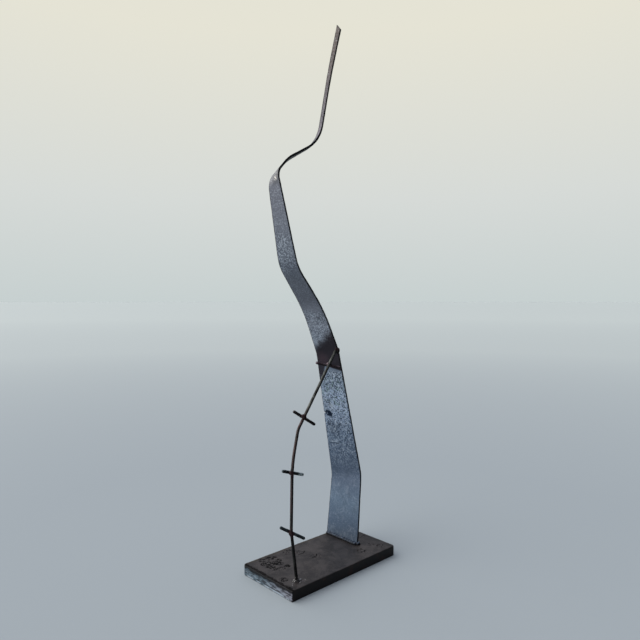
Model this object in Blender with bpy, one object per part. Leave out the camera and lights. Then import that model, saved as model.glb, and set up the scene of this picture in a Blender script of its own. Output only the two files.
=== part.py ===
"""Abstract metal sculpture.

A heavy flat plate lies on the table. A tapered flat bar, the strap, stands across one end of it, is bent
several times on its way up and ends in a slanting spike. A thin round bar stands at the other end, bends
over and leans on the strap. Four short round pins cross it.

Frame: the origin is the middle of the plate's underside, X runs along the plate towards the strap, Y across
the plate from its near long side to its far long side, Z up. Lengths in metres.
"""

import math
from typing import NamedTuple

import bmesh
import bpy
import numpy as np
from mathutils import Matrix, Vector

MM = 0.001

# Clearance wherever two pieces would touch
GAP = 0.3 * MM

# Base plate
PLATE_LENGTH = 270.0 * MM
PLATE_WIDTH = 140.0 * MM
PLATE_THICK = 19.0 * MM
WORN_CORNER_RADIUS = 5.0 * MM
SQUARE_CORNER_RADIUS = 0.8 * MM
CORNER_STEPS = 5
PLATE_EDGE_BREAK = 0.6 * MM


class Bend(NamedTuple):
    """One bend of the strap: its place on the near edge and the length it is spread over, both as shares of
    the strap's length, its turn in degrees (positive leans the strap to +X), and how far its line is skewed
    from square, in degrees."""

    at: float
    turn: float
    over: float
    skew: float


class Width(NamedTuple):
    """The width of the strap's flat pattern at one place along it: the place is a share of the strap's
    length and the width a share of the foot's width."""

    at: float
    wide: float


# Strap: the flat pattern has a straight near edge and a tapering far edge
STRAP_THICK = 4.0 * MM
STRAP_LENGTH = 1085.0 * MM
STRAP_FOOT_FROM_END = 54.0 * MM
STRAP_FOOT_LEAN = 4.14
STRAP_FOOT_WIDTH = 87.0 * MM
STRAP_WIDTHS = (
    Width(0.0, 1.0),
    Width(0.1272, 0.922),
    Width(0.5714, 0.459),
    Width(0.6774, 0.317),
    Width(0.7834, 0.079),
    Width(0.8848, 0.084),
    Width(1.0, 0.114),
)
STRAP_BENDS = (
    Bend(0.1290, -19.3, 0.0186, 10.0),
    Bend(0.3711, -13.1, 0.0173, 9.3),
    Bend(0.4546, -14.4, 0.0737, 6.0),
    Bend(0.5473, 28.3, 0.0341, -9.8),
    Bend(0.7076, 65.3, 0.0192, 30.4),
    Bend(0.7408, 19.1, 0.0165, 2.4),
    Bend(0.8101, -65.7, 0.0440, 36.4),
    Bend(0.9200, 4.4, 0.0641, 19.8),
)
TIP_CUT_ANGLE = -43.0
LONGEST_FLAT_STEP = 40.0 * MM
LARGEST_TURN_STEP = 3.0
WIDTH_PASSES = 6

# Nick in the strap's far edge
NICK_AT = 265.0 * MM
NICK_DEPTH = 3.5 * MM
NICK_HALF_WIDTH = 2.5 * MM

# Weld beads along both sides of the strap's foot
BEAD_RADIUS = 4.0 * MM
BEAD_RIPPLE = 0.35 * MM
BEAD_PITCH = 6.0 * MM
BEAD_RINGS_PER_RIPPLE = 2
BEAD_SIDES = 10
BEAD_SINK = 1.0 * MM
BEAD_RISE = 0.8 * MM
BEAD_END_SHARE = 0.75
CORNER_LUMP_RADIUS = 5.5 * MM

# Rod: a round bar in one upright plane; each knee is a share of its run and of its rise
ROD_DIAMETER = 5.5 * MM
ROD_FOOT_FROM_END = 30.4 * MM
ROD_FOOT_FROM_SIDE = 23.5 * MM
ROD_TOP_ALONG_STRAP = 407.0 * MM
ROD_TOP_INSET = 1.0 * MM
ROD_TOP_SINK = 1.5 * MM
ROD_FOOT_BEND_RADIUS = 40.0 * MM
ROD_SLOW_BEND_RADIUS = 190.0 * MM
ROD_KNEE_RADIUS = 28.0 * MM
ROD_SIDES = 16


class Knee(NamedTuple):
    """One bend of the rod: shares of its run and rise, and the bend's radius."""

    run: float
    rise: float
    radius: float


ROD_KNEES = (
    Knee(-0.120, 0.227, ROD_FOOT_BEND_RADIUS),
    Knee(-0.100, 0.517, ROD_SLOW_BEND_RADIUS),
    Knee(0.032, 0.662, ROD_KNEE_RADIUS),
)

# Weld collar at the rod's foot and weld lump at its top
COLLAR_RADIUS = 7.5 * MM
COLLAR_HEIGHT = 5.5 * MM
COLLAR_SIDES = 20
COLLAR_RINGS = 5
COLLAR_UNEVEN = 0.12
COLLAR_LOBES = 3.0
COLLAR_HOLLOW = 1.5
TOP_LUMP_BELOW_ROD_TOP = 5.0 * MM
TOP_LUMP_HALF_LENGTH = 7.0 * MM
TOP_LUMP_HALF_WIDTH = 4.0 * MM
TOP_LUMP_HALF_DEPTH = 5.0 * MM


class Pin(NamedTuple):
    """One cross pin: the share of the rod's rise at which it crosses, its heading about Z and its downward
    slope in degrees, and how far its middle lies beyond the crossing, as a share of its length."""

    rise: float
    heading: float
    dip: float
    shift: float


# Cross pins: round, with rounded ends
PIN_DIAMETER = 5.5 * MM
PIN_LENGTH = 50.0 * MM
PIN_SIDES = 14
PIN_END_STEPS = 3
PINS = (
    Pin(0.215, -33.6, 27.4, 0.040),
    Pin(0.480, -2.4, 17.9, 0.130),
    Pin(0.712, -24.3, 33.4, 0.066),
    Pin(0.929, -33.0, 12.6, -0.014),
)
PIN_LUMP_ALONG = 5.6 * MM
PIN_LUMP_UP = 4.2 * MM
PIN_LUMP_DEEP = 4.6 * MM
PIN_LUMP_TOWARDS_ROD = 0.9 * MM

# Rounded weld metal
LUMP_SUBDIVISIONS = 2
LUMP_UNEVEN = 0.07
LUMP_WAVES = (3.0, 4.0, 5.0)

# Cutting bodies reach this many lump sizes, or strap steps, beyond what they cut
LUMP_CUTTER_SIZES = 3.0
STRAP_CUTTER_STEPS = 2.0
FEWEST_BEAD_RINGS = 4
FEWEST_TURN_STEPS = 2

# Base colours: red, green, blue, alpha
MILL_SCALE = (0.075, 0.068, 0.066, 1.0)
BLUE_STEEL = (0.20, 0.23, 0.28, 1.0)
DARK_BAR = (0.070, 0.062, 0.058, 1.0)
PIN_STEEL = (0.060, 0.064, 0.068, 1.0)

PLATE_TOP = PLATE_THICK
FOOT_LEVEL = PLATE_TOP + GAP
ROD_RADIUS = ROD_DIAMETER / 2.0
PIN_RADIUS = PIN_DIAMETER / 2.0
STRAP_FOOT_X = PLATE_LENGTH / 2.0 - STRAP_FOOT_FROM_END
STRAP_NEAR_Y = PLATE_WIDTH / 2.0 - STRAP_FOOT_WIDTH


def clear_scene():
    """Removes whatever objects the scene holds."""
    for obj in list(bpy.data.objects):
        bpy.data.objects.remove(obj, do_unlink=True)


def material(name, colour, roughness):
    """A Principled metal."""
    mat = bpy.data.materials.new(name)
    mat.use_nodes = True
    shader = mat.node_tree.nodes["Principled BSDF"]
    shader.inputs["Base Color"].default_value = colour
    shader.inputs["Metallic"].default_value = 1.0
    shader.inputs["Roughness"].default_value = roughness
    return mat


def add_object(name, points, faces, smooth=False):
    """An object from points and faces, with its normals turned outwards."""
    bm = bmesh.new()
    verts = [bm.verts.new(Vector(p)) for p in points]
    for face in faces:
        bm.faces.new([verts[i] for i in face])
    bmesh.ops.recalc_face_normals(bm, faces=bm.faces)
    mesh = bpy.data.meshes.new(name)
    bm.to_mesh(mesh)
    bm.free()
    for polygon in mesh.polygons:
        polygon.use_smooth = smooth
    obj = bpy.data.objects.new(name, mesh)
    bpy.context.scene.collection.objects.link(obj)
    return obj


def combine(target, tool, operation):
    """Joins the tool to the target or cuts it from it, then drops the tool."""
    modifier = target.modifiers.new("combine", "BOOLEAN")
    modifier.operation = operation
    modifier.solver = "EXACT"
    modifier.object = tool
    depsgraph = bpy.context.evaluated_depsgraph_get()
    mesh = bpy.data.meshes.new_from_object(target.evaluated_get(depsgraph))
    target.modifiers.clear()
    target.data = mesh
    bpy.data.objects.remove(tool, do_unlink=True)


def loft(rings):
    """The faces of a closed body through rings of equal size, capped at both ends."""
    count = len(rings[0])
    faces = []
    for i in range(len(rings) - 1):
        low = i * count
        high = low + count
        for j in range(count):
            k = (j + 1) % count
            faces.append((low + j, low + k, high + k, high + j))
    last = (len(rings) - 1) * count
    faces.append(tuple(range(count))[::-1])
    faces.append(tuple(range(last, last + count)))
    return faces


def lump(name, centre, axes, sizes):
    """A rounded, slightly uneven lump of weld metal with its half sizes along three axes."""
    bm = bmesh.new()
    bmesh.ops.create_icosphere(bm, subdivisions=LUMP_SUBDIVISIONS, radius=1.0)
    turn = Matrix([axis.normalized() for axis in axes]).transposed()
    for vert in bm.verts:
        x, y, z = vert.co
        wave = math.sin(LUMP_WAVES[0] * x) * math.cos(LUMP_WAVES[1] * y) + math.sin(LUMP_WAVES[2] * z + x)
        scale = 1.0 + LUMP_UNEVEN * wave / 2.0
        local = Vector((x * sizes[0], y * sizes[1], z * sizes[2])) * scale
        vert.co = Vector(centre) + turn @ local
    mesh = bpy.data.meshes.new(name)
    bm.to_mesh(mesh)
    bm.free()
    for polygon in mesh.polygons:
        polygon.use_smooth = True
    obj = bpy.data.objects.new(name, mesh)
    bpy.context.scene.collection.objects.link(obj)
    return obj


def plate_outline():
    """The plate's outline: two opposite corners are worn round, the other two are nearly square."""
    half_x = PLATE_LENGTH / 2.0
    half_y = PLATE_WIDTH / 2.0
    corners = (
        (1.0, -1.0, WORN_CORNER_RADIUS, -90.0),
        (1.0, 1.0, SQUARE_CORNER_RADIUS, 0.0),
        (-1.0, 1.0, WORN_CORNER_RADIUS, 90.0),
        (-1.0, -1.0, SQUARE_CORNER_RADIUS, 180.0),
    )
    outline = []
    for side_x, side_y, radius, start in corners:
        for step in range(CORNER_STEPS + 1):
            angle = math.radians(start + 90.0 * step / CORNER_STEPS)
            x = side_x * (half_x - radius) + radius * math.cos(angle)
            y = side_y * (half_y - radius) + radius * math.sin(angle)
            outline.append((x, y))
    return outline


def inset_outline(outline, inset):
    """The same outline drawn in on all sides, by scaling."""
    scale_x = 1.0 - 2.0 * inset / PLATE_LENGTH
    scale_y = 1.0 - 2.0 * inset / PLATE_WIDTH
    return [(x * scale_x, y * scale_y) for x, y in outline]


def make_plate():
    """The base plate with its edges broken."""
    outline = plate_outline()
    inner = inset_outline(outline, PLATE_EDGE_BREAK)
    levels = (
        (inner, 0.0),
        (outline, PLATE_EDGE_BREAK),
        (outline, PLATE_THICK - PLATE_EDGE_BREAK),
        (inner, PLATE_THICK),
    )
    rings = [[(x, y, level) for x, y in ring] for ring, level in levels]
    points = [point for ring in rings for point in ring]
    return add_object("base_plate", points, loft(rings))


def strap_width(along):
    """The strap's width at a place along its flat pattern, with the nick taken out."""
    share = np.interp(along / STRAP_LENGTH, [w.at for w in STRAP_WIDTHS], [w.wide for w in STRAP_WIDTHS])
    wide = STRAP_FOOT_WIDTH * float(share)
    nick = max(0.0, 1.0 - abs(along - NICK_AT) / NICK_HALF_WIDTH)
    return wide - NICK_DEPTH * nick


def fold(points, bend):
    """Rolls flat points (along, across, off the face) about one bend line."""
    skew = math.radians(bend.skew)
    turn = math.radians(bend.turn)
    middle = bend.at * STRAP_LENGTH
    over = bend.over * STRAP_LENGTH
    ahead = points[:, 0] - middle
    u = ahead * math.cos(skew) + points[:, 1] * math.sin(skew)
    v = points[:, 1] * math.cos(skew) - ahead * math.sin(skew)
    off = points[:, 2]
    start = -over / 2.0
    radius = over / turn
    angle = turn * np.clip((u - start) / over, 0.0, 1.0)
    beyond = np.maximum(u - start - over, 0.0)
    rolled_u = start + (radius + off) * np.sin(angle) + beyond * np.cos(angle)
    rolled_off = (radius + off) * np.cos(angle) - radius - beyond * np.sin(angle)
    before = u < start
    rolled_u = np.where(before, u, rolled_u)
    rolled_off = np.where(before, off, rolled_off)
    along = middle + rolled_u * math.cos(skew) - v * math.sin(skew)
    across = rolled_u * math.sin(skew) + v * math.cos(skew)
    return np.stack([along, across, rolled_off], axis=1)


def strap_points(flat):
    """Places points of the flat pattern (along, across, off the face) on the standing strap."""
    points = np.array(flat, dtype=float)
    for bend in reversed(STRAP_BENDS):
        points = fold(points, bend)
    lean = math.radians(STRAP_FOOT_LEAN)
    x = STRAP_FOOT_X + points[:, 0] * math.sin(lean) - points[:, 2] * math.cos(lean)
    y = STRAP_NEAR_Y + points[:, 1]
    z = FOOT_LEVEL + points[:, 0] * math.cos(lean) + points[:, 2] * math.sin(lean)
    return np.stack([x, y, z], axis=1)


def bend_ends(bend):
    """Where a bend starts and ends on the near edge."""
    middle = bend.at * STRAP_LENGTH
    half = bend.over * STRAP_LENGTH / 2.0 / math.cos(math.radians(bend.skew))
    return middle - half, middle + half


def ruling_table():
    """Places along the near edge and the skew of the line drawn across the strap there."""
    places = [0.0]
    skews = [0.0]
    for bend in STRAP_BENDS:
        start, end = bend_ends(bend)
        places.append(max(start, places[-1]))
        places.append(end)
        skews.extend((bend.skew, bend.skew))
    places.append(STRAP_LENGTH)
    skews.append(TIP_CUT_ANGLE)
    return places, skews


def far_end(near, skew):
    """Where a line drawn across the strap from the near edge meets the far edge, and the width there."""
    slope = math.tan(math.radians(skew))
    far = near
    for _ in range(WIDTH_PASSES):
        far = near - strap_width(far) * slope
    return far, strap_width(far)


def near_places():
    """Places on the near edge from which lines are drawn across: close together in the bends, far apart
    in the straight runs, and at the nick."""
    places, skews = ruling_table()
    marks = set(places)
    for bend in STRAP_BENDS:
        start, end = bend_ends(bend)
        steps = max(FEWEST_TURN_STEPS, math.ceil(abs(bend.turn) / LARGEST_TURN_STEP))
        marks.update(np.linspace(start, end, steps + 1))
    for width in STRAP_WIDTHS:
        marks.add(width.at * STRAP_LENGTH)
    nick_skew = float(np.interp(NICK_AT, places, skews))
    nick_near = NICK_AT + strap_width(NICK_AT) * math.tan(math.radians(nick_skew))
    for side in (-1.0, 0.0, 1.0):
        marks.add(nick_near + side * NICK_HALF_WIDTH)
    ordered = [mark for mark in sorted(marks) if 0.0 <= mark <= STRAP_LENGTH]
    filled = [ordered[0]]
    for mark in ordered[1:]:
        span = mark - filled[-1]
        if span < NICK_HALF_WIDTH / 3.0:
            continue
        parts = math.ceil(span / LONGEST_FLAT_STEP)
        start = filled[-1]
        filled.extend(start + span * part / parts for part in range(1, parts + 1))
    filled[-1] = STRAP_LENGTH
    return filled


def strap_body(name, first, last, grow):
    """The bent strap between two places along it, made larger all round by the given amount."""
    places, skews = ruling_table()
    lean = math.tan(math.radians(STRAP_FOOT_LEAN))
    rings = []
    for near in near_places():
        if not first <= near <= last:
            continue
        far, wide = far_end(near, float(np.interp(near, places, skews)))
        section = []
        for along, across, off in (
            (near, -grow, grow),
            (far, wide + grow, grow),
            (far, wide + grow, -STRAP_THICK - grow),
            (near, -grow, -STRAP_THICK - grow),
        ):
            level = -off * lean if near == 0.0 else 0.0
            section.append((along + level, across, off))
        rings.append(section)
    flat = [point for ring in rings for point in ring]
    return add_object(name, strap_points(flat), loft(rings))


def bead(name, x, start_y, end_y):
    """A rippled weld bead along Y, standing on the plate's top."""
    length = end_y - start_y
    count = max(FEWEST_BEAD_RINGS, round(length / BEAD_PITCH) * BEAD_RINGS_PER_RIPPLE)
    rings = []
    for i in range(count + 1):
        y = start_y + length * i / count
        ripple = BEAD_RIPPLE if i % 2 else -BEAD_RIPPLE
        taper = BEAD_END_SHARE if i in (0, count) else 1.0
        radius = (BEAD_RADIUS + ripple) * taper
        ring = []
        for j in range(BEAD_SIDES):
            angle = 2.0 * math.pi * j / BEAD_SIDES
            z = FOOT_LEVEL + BEAD_RISE + radius * math.sin(angle)
            ring.append((x + radius * math.cos(angle), y, max(z, FOOT_LEVEL)))
        rings.append(ring)
    points = [point for ring in rings for point in ring]
    return add_object(name, points, loft(rings), smooth=True)


def flat_bottomed(obj):
    """Cuts away whatever reaches below the level on which welds stand."""
    size = LUMP_CUTTER_SIZES * CORNER_LUMP_RADIUS
    centre = sum((v.co for v in obj.data.vertices), Vector()) / len(obj.data.vertices)
    low = FOOT_LEVEL - size
    corners = []
    for z in (low, FOOT_LEVEL):
        for dx, dy in ((-1, -1), (1, -1), (1, 1), (-1, 1)):
            corners.append((centre.x + dx * size, centre.y + dy * size, z))
    cutter = add_object("cutter", corners, loft((corners[:4], corners[4:])))
    combine(obj, cutter, "DIFFERENCE")


def make_strap():
    """The strap with the weld metal of its foot."""
    strap = strap_body("strap", 0.0, STRAP_LENGTH, 0.0)
    start = STRAP_NEAR_Y + BEAD_SINK
    end = PLATE_WIDTH / 2.0 - BEAD_SINK
    face_x = STRAP_FOOT_X
    back_x = STRAP_FOOT_X + STRAP_THICK / math.cos(math.radians(STRAP_FOOT_LEAN))
    combine(strap, bead("bead", face_x - BEAD_SINK, start, end), "UNION")
    combine(strap, bead("bead", back_x + BEAD_SINK, start, end), "UNION")
    corner = (back_x, STRAP_NEAR_Y + BEAD_SINK, FOOT_LEVEL + BEAD_RISE)
    axes = (Vector((1, 0, 0)), Vector((0, 1, 0)), Vector((0, 0, 1)))
    corner_lump = lump("lump", corner, axes, (CORNER_LUMP_RADIUS,) * 3)
    flat_bottomed(corner_lump)
    combine(strap, corner_lump, "UNION")
    return strap


def rod_frame():
    """The rod's foot, its run direction, its run and its rise, up to where it meets the strap."""
    foot_x = ROD_FOOT_FROM_END - PLATE_LENGTH / 2.0
    foot_y = ROD_FOOT_FROM_SIDE - PLATE_WIDTH / 2.0
    foot = Vector((foot_x, foot_y, FOOT_LEVEL))
    top = Vector(strap_points([(ROD_TOP_ALONG_STRAP, ROD_TOP_INSET, -ROD_TOP_SINK)])[0])
    reach = top - foot
    flat = Vector((reach.x, reach.y, 0.0))
    return foot, flat.normalized(), flat.length, reach.z


def rod_centreline():
    """Points and directions along the rod: straight runs joined by round bends."""
    foot, ahead, run, rise = rod_frame()
    corners = [(0.0, 0.0)]
    corners.extend((knee.run * run, knee.rise * rise) for knee in ROD_KNEES)
    corners.append((run, rise))
    corners = [Vector(corner) for corner in corners]
    path = [(corners[0], (corners[1] - corners[0]).normalized())]
    for i, knee in enumerate(ROD_KNEES, start=1):
        before = (corners[i] - corners[i - 1]).normalized()
        after = (corners[i + 1] - corners[i]).normalized()
        turn = after.angle_signed(before)
        tangent = knee.radius * math.tan(abs(turn) / 2.0)
        start = corners[i] - before * tangent
        inward = Vector((-before.y, before.x)) * math.copysign(1.0, turn)
        centre = start + inward * knee.radius
        steps = max(FEWEST_TURN_STEPS, math.ceil(math.degrees(abs(turn)) / LARGEST_TURN_STEP))
        for step in range(steps + 1):
            angle = turn * step / steps
            spoke = Matrix.Rotation(angle, 2) @ (start - centre)
            heading = Matrix.Rotation(angle, 2) @ before
            path.append((centre + spoke, heading))
    path.append((corners[-1], (corners[-1] - corners[-2]).normalized()))
    return [
        (foot + ahead * point.x + Vector((0, 0, point.y)), ahead * heading.x + Vector((0, 0, heading.y)))
        for point, heading in path
    ]


def rod_body(name, radius):
    """The round bar alone, with its foot cut level."""
    side = rod_frame()[1].cross(Vector((0, 0, 1)))
    rings = []
    for place, heading in rod_centreline():
        front = side.cross(heading)
        ring = []
        for j in range(ROD_SIDES):
            angle = 2.0 * math.pi * j / ROD_SIDES
            point = place + (side * math.cos(angle) + front * math.sin(angle)) * radius
            if not rings:
                point += heading * ((FOOT_LEVEL - point.z) / heading.z)
            ring.append(point)
        rings.append(ring)
    points = [point for ring in rings for point in ring]
    return add_object(name, points, loft(rings), smooth=True)


def collar():
    """The uneven weld collar round the rod's foot."""
    foot = rod_frame()[0]
    core = ROD_RADIUS / 2.0
    rings = []
    for i in range(COLLAR_RINGS + 1):
        share = i / COLLAR_RINGS
        radius = core + (COLLAR_RADIUS - core) * (1.0 - share) ** COLLAR_HOLLOW
        ring = []
        for j in range(COLLAR_SIDES):
            angle = 2.0 * math.pi * j / COLLAR_SIDES
            uneven = 1.0 + COLLAR_UNEVEN * (1.0 - share) * math.sin(COLLAR_LOBES * angle)
            x = foot.x + radius * uneven * math.cos(angle)
            y = foot.y + radius * uneven * math.sin(angle)
            ring.append((x, y, FOOT_LEVEL + COLLAR_HEIGHT * share))
        rings.append(ring)
    points = [point for ring in rings for point in ring]
    return add_object("collar", points, loft(rings), smooth=True)


def make_rod():
    """The rod with the weld metal of its foot and of its top, kept clear of the strap."""
    rod = rod_body("rod", ROD_RADIUS)
    combine(rod, collar(), "UNION")
    centre = strap_points([(ROD_TOP_ALONG_STRAP - TOP_LUMP_BELOW_ROD_TOP, 0.0, 0.0)])[0]
    heading = rod_centreline()[-1][1]
    side = heading.cross(Vector((0, 1, 0)))
    axes = (heading, side.cross(heading), side)
    sizes = (TOP_LUMP_HALF_LENGTH, TOP_LUMP_HALF_WIDTH, TOP_LUMP_HALF_DEPTH)
    combine(rod, lump("lump", centre, axes, sizes), "UNION")
    reach = STRAP_CUTTER_STEPS * LONGEST_FLAT_STEP
    cutter = strap_body("cutter", ROD_TOP_ALONG_STRAP - reach, ROD_TOP_ALONG_STRAP + reach, GAP)
    combine(rod, cutter, "DIFFERENCE")
    return rod


def crossing(pin):
    """The point on the rod's centreline that a pin crosses, and the rod's heading there."""
    path = rod_centreline()
    foot, _, _, rise = rod_frame()
    level = foot.z + pin.rise * rise
    for (low, _), (high, _) in zip(path, path[1:]):
        if low.z <= level <= high.z:
            share = (level - low.z) / (high.z - low.z)
            return low.lerp(high, share), (high - low).normalized()
    raise ValueError("a pin lies beyond the rod")


def make_pin(name, pin):
    """A round-ended pin beside the rod, with its weld lump, kept clear of the rod."""
    place, heading = crossing(pin)
    turn = math.radians(pin.heading)
    dip = math.radians(pin.dip)
    along = Vector((math.cos(dip) * math.cos(turn), math.cos(dip) * math.sin(turn), -math.sin(dip)))
    away = along.cross(heading).normalized()
    if away.y < 0.0:
        away = -away
    middle = place + away * (ROD_RADIUS + PIN_RADIUS + GAP) + along * (pin.shift * PIN_LENGTH)
    up = away.cross(along)
    half = PIN_LENGTH / 2.0
    profile = []
    for step in range(1, PIN_END_STEPS + 1):
        angle = math.radians(90.0) * step / PIN_END_STEPS
        profile.append((PIN_RADIUS * (1.0 - math.cos(angle)) - half, PIN_RADIUS * math.sin(angle)))
    profile.extend([(-x, radius) for x, radius in reversed(profile)])
    rings = []
    for x, radius in profile:
        ring = []
        for j in range(PIN_SIDES):
            angle = 2.0 * math.pi * j / PIN_SIDES
            ring.append(middle + along * x + (up * math.cos(angle) + away * math.sin(angle)) * radius)
        rings.append(ring)
    points = [point for ring in rings for point in ring]
    body = add_object(name, points, loft(rings), smooth=True)
    weld = place + away * (ROD_RADIUS - PIN_LUMP_TOWARDS_ROD)
    sizes = (PIN_LUMP_ALONG, PIN_LUMP_UP, PIN_LUMP_DEEP)
    combine(body, lump("lump", weld, (along, up, away), sizes), "UNION")
    combine(body, rod_body("cutter", ROD_RADIUS + GAP), "DIFFERENCE")
    return body


def finish(obj, mat):
    """Gives an object its only material."""
    obj.data.materials.clear()
    obj.data.materials.append(mat)


def main():
    clear_scene()
    finish(make_plate(), material("mill_scale", MILL_SCALE, 0.55))
    finish(make_strap(), material("blue_steel", BLUE_STEEL, 0.45))
    finish(make_rod(), material("dark_bar", DARK_BAR, 0.50))
    pin_steel = material("pin_steel", PIN_STEEL, 0.50)
    for number, pin in enumerate(PINS, start=1):
        finish(make_pin(f"cross_pin_{number}", pin), pin_steel)


main()
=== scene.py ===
"""Looks of the abstract metal sculpture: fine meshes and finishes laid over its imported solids.

Frame: the origin is the middle of the plate's underside, +X runs along the plate towards the strap, +Y across
it to the far long side, +Z up. Lengths in metres, angles in degrees.
"""

import logging
import math
import random
from collections.abc import Callable
from dataclasses import dataclass
from enum import Enum

import bmesh
import bpy
import numpy as np
from bpy.types import Material, Mesh, Node, NodeSocket, NodeTree, Object
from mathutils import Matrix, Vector, noise
from mathutils.kdtree import KDTree


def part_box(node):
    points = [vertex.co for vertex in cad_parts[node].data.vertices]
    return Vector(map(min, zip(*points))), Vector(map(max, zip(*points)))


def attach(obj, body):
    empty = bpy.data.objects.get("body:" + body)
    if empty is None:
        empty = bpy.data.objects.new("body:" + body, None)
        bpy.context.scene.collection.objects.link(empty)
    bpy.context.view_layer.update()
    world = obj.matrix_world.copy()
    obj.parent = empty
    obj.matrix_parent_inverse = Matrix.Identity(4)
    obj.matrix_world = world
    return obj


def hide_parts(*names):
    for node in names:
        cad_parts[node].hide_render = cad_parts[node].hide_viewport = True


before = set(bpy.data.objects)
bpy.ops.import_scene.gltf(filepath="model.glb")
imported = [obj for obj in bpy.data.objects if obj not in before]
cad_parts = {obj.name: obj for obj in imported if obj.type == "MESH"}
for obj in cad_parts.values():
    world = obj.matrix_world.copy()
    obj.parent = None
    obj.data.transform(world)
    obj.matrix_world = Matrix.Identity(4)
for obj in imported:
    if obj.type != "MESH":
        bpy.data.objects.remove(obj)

LOG = logging.getLogger("sculpture")
MM = 0.001
BODY = "root"
Colour = tuple[float, float, float, float]
Place = tuple[float, float, float]
Span = tuple[float, float]
Relief = Callable[[Vector, Vector, float], float]


class Slot(Enum):
    """The material slots."""

    PLATE = "plate"
    STRAP = "strap"
    ROD = "rod"
    PINS = "pins"


def tone(red: int, green: int, blue: int) -> Colour:
    """Turns a colour given in display steps from 0 to 255 into a shader colour.

    Args:
        red: Red step.
        green: Green step.
        blue: Blue step.

    Returns:
        The linear colour with alpha 1.
    """
    steps = (red / 255.0, green / 255.0, blue / 255.0)
    linear = [s / 12.92 if s <= 0.04045 else ((s + 0.055) / 1.055) ** 2.4 for s in steps]
    return (*linear, 1.0)


class Wire:
    """A value in a shader. Arithmetic on it adds the Math nodes that work the result out."""

    def __init__(self, graph: "Nodes", socket: NodeSocket) -> None:
        """Wraps an output socket of the graph."""
        self.graph = graph
        self.socket = socket

    def _math(self, operation: str, first: "Wire | float", second: "Wire | float") -> "Wire":
        """Adds one Math node and returns its result."""
        node = self.graph.add("ShaderNodeMath", {"operation": operation}, {0: first, 1: second})
        return Wire(self.graph, node.outputs[0])

    def __add__(self, other: "Wire | float") -> "Wire":
        """Sum, in either order."""
        return self._math("ADD", self, other)

    def __sub__(self, other: "Wire | float") -> "Wire":
        """Difference."""
        return self._math("SUBTRACT", self, other)

    def __rsub__(self, other: float) -> "Wire":
        """Difference from a number."""
        return self._math("SUBTRACT", other, self)

    def __mul__(self, other: "Wire | float") -> "Wire":
        """Product, in either order."""
        return self._math("MULTIPLY", self, other)

    __radd__ = __add__
    __rmul__ = __mul__

    def step(self, low: float, high: float) -> "Wire":
        """Rises smoothly from 0 at low to 1 at high, or falls if low is the greater.

        Args:
            low: The value at which the result is 0.
            high: The value at which the result is 1.

        Returns:
            The result, from 0 to 1.
        """
        falls = low > high
        node = self.graph.add(
            "ShaderNodeMapRange",
            {"interpolation_type": "SMOOTHSTEP"},
            {"Value": self, "From Min": min(low, high), "From Max": max(low, high)},
        )
        rising = Wire(self.graph, node.outputs[0])
        return 1.0 - rising if falls else rising

    def window(self, low: float, high: float, soft: float) -> "Wire":
        """Is 1 from low to high, and fades to 0 over a soft width on each side."""
        return self.step(low - soft, low) * self.step(high + soft, high)


class Nodes:
    """A node tree, with one method that adds any node and a few short names for the common ones."""

    def __init__(self, tree: NodeTree) -> None:
        """Wraps the tree."""
        self.tree = tree

    def add(self, kind: str, settings: dict | None = None, sockets: dict | None = None) -> Node:
        """Adds a node: its settings first, then what goes into its sockets.

        Args:
            kind: The node's type.
            settings: Its settings; "stops" are a ramp's (place, colour) pairs.
            sockets: Values or wires for its input sockets, by name or number.

        Returns:
            The node.
        """
        node = self.tree.nodes.new(kind)
        for key, value in (settings or {}).items():
            if key == "stops":
                elements = node.color_ramp.elements
                while len(elements) < len(value):
                    elements.new(1.0)
                for element, (place, colour) in zip(elements, value):
                    element.position = place
                    element.color = colour
            else:
                setattr(node, key, value)
        for key, value in (sockets or {}).items():
            self.feed(node.inputs[key], value)
        return node

    def feed(self, socket: NodeSocket, value: "Wire | float | tuple") -> None:
        """Links a wire to a socket, or sets the socket to a value.

        Args:
            socket: The input socket.
            value: The wire or the value.
        """
        if isinstance(value, Wire):
            self.tree.links.new(value.socket, socket)
        else:
            socket.default_value = value

    def mix(self, share: Wire | float, first: Wire | Colour, second: Wire | Colour) -> Wire:
        """Mixes two colours: the first where the share is 0, the second where it is 1."""
        node = self.add("ShaderNodeMix", {"data_type": "RGBA"}, {0: share, 6: first, 7: second})
        return Wire(self, node.outputs[2])

    def ramp(self, share: Wire, stops: list[tuple[float, Colour]]) -> Wire:
        """A colour that changes with the share through the stops."""
        node = self.add("ShaderNodeValToRGB", {"stops": stops}, {0: share})
        return Wire(self, node.outputs["Color"])


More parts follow.
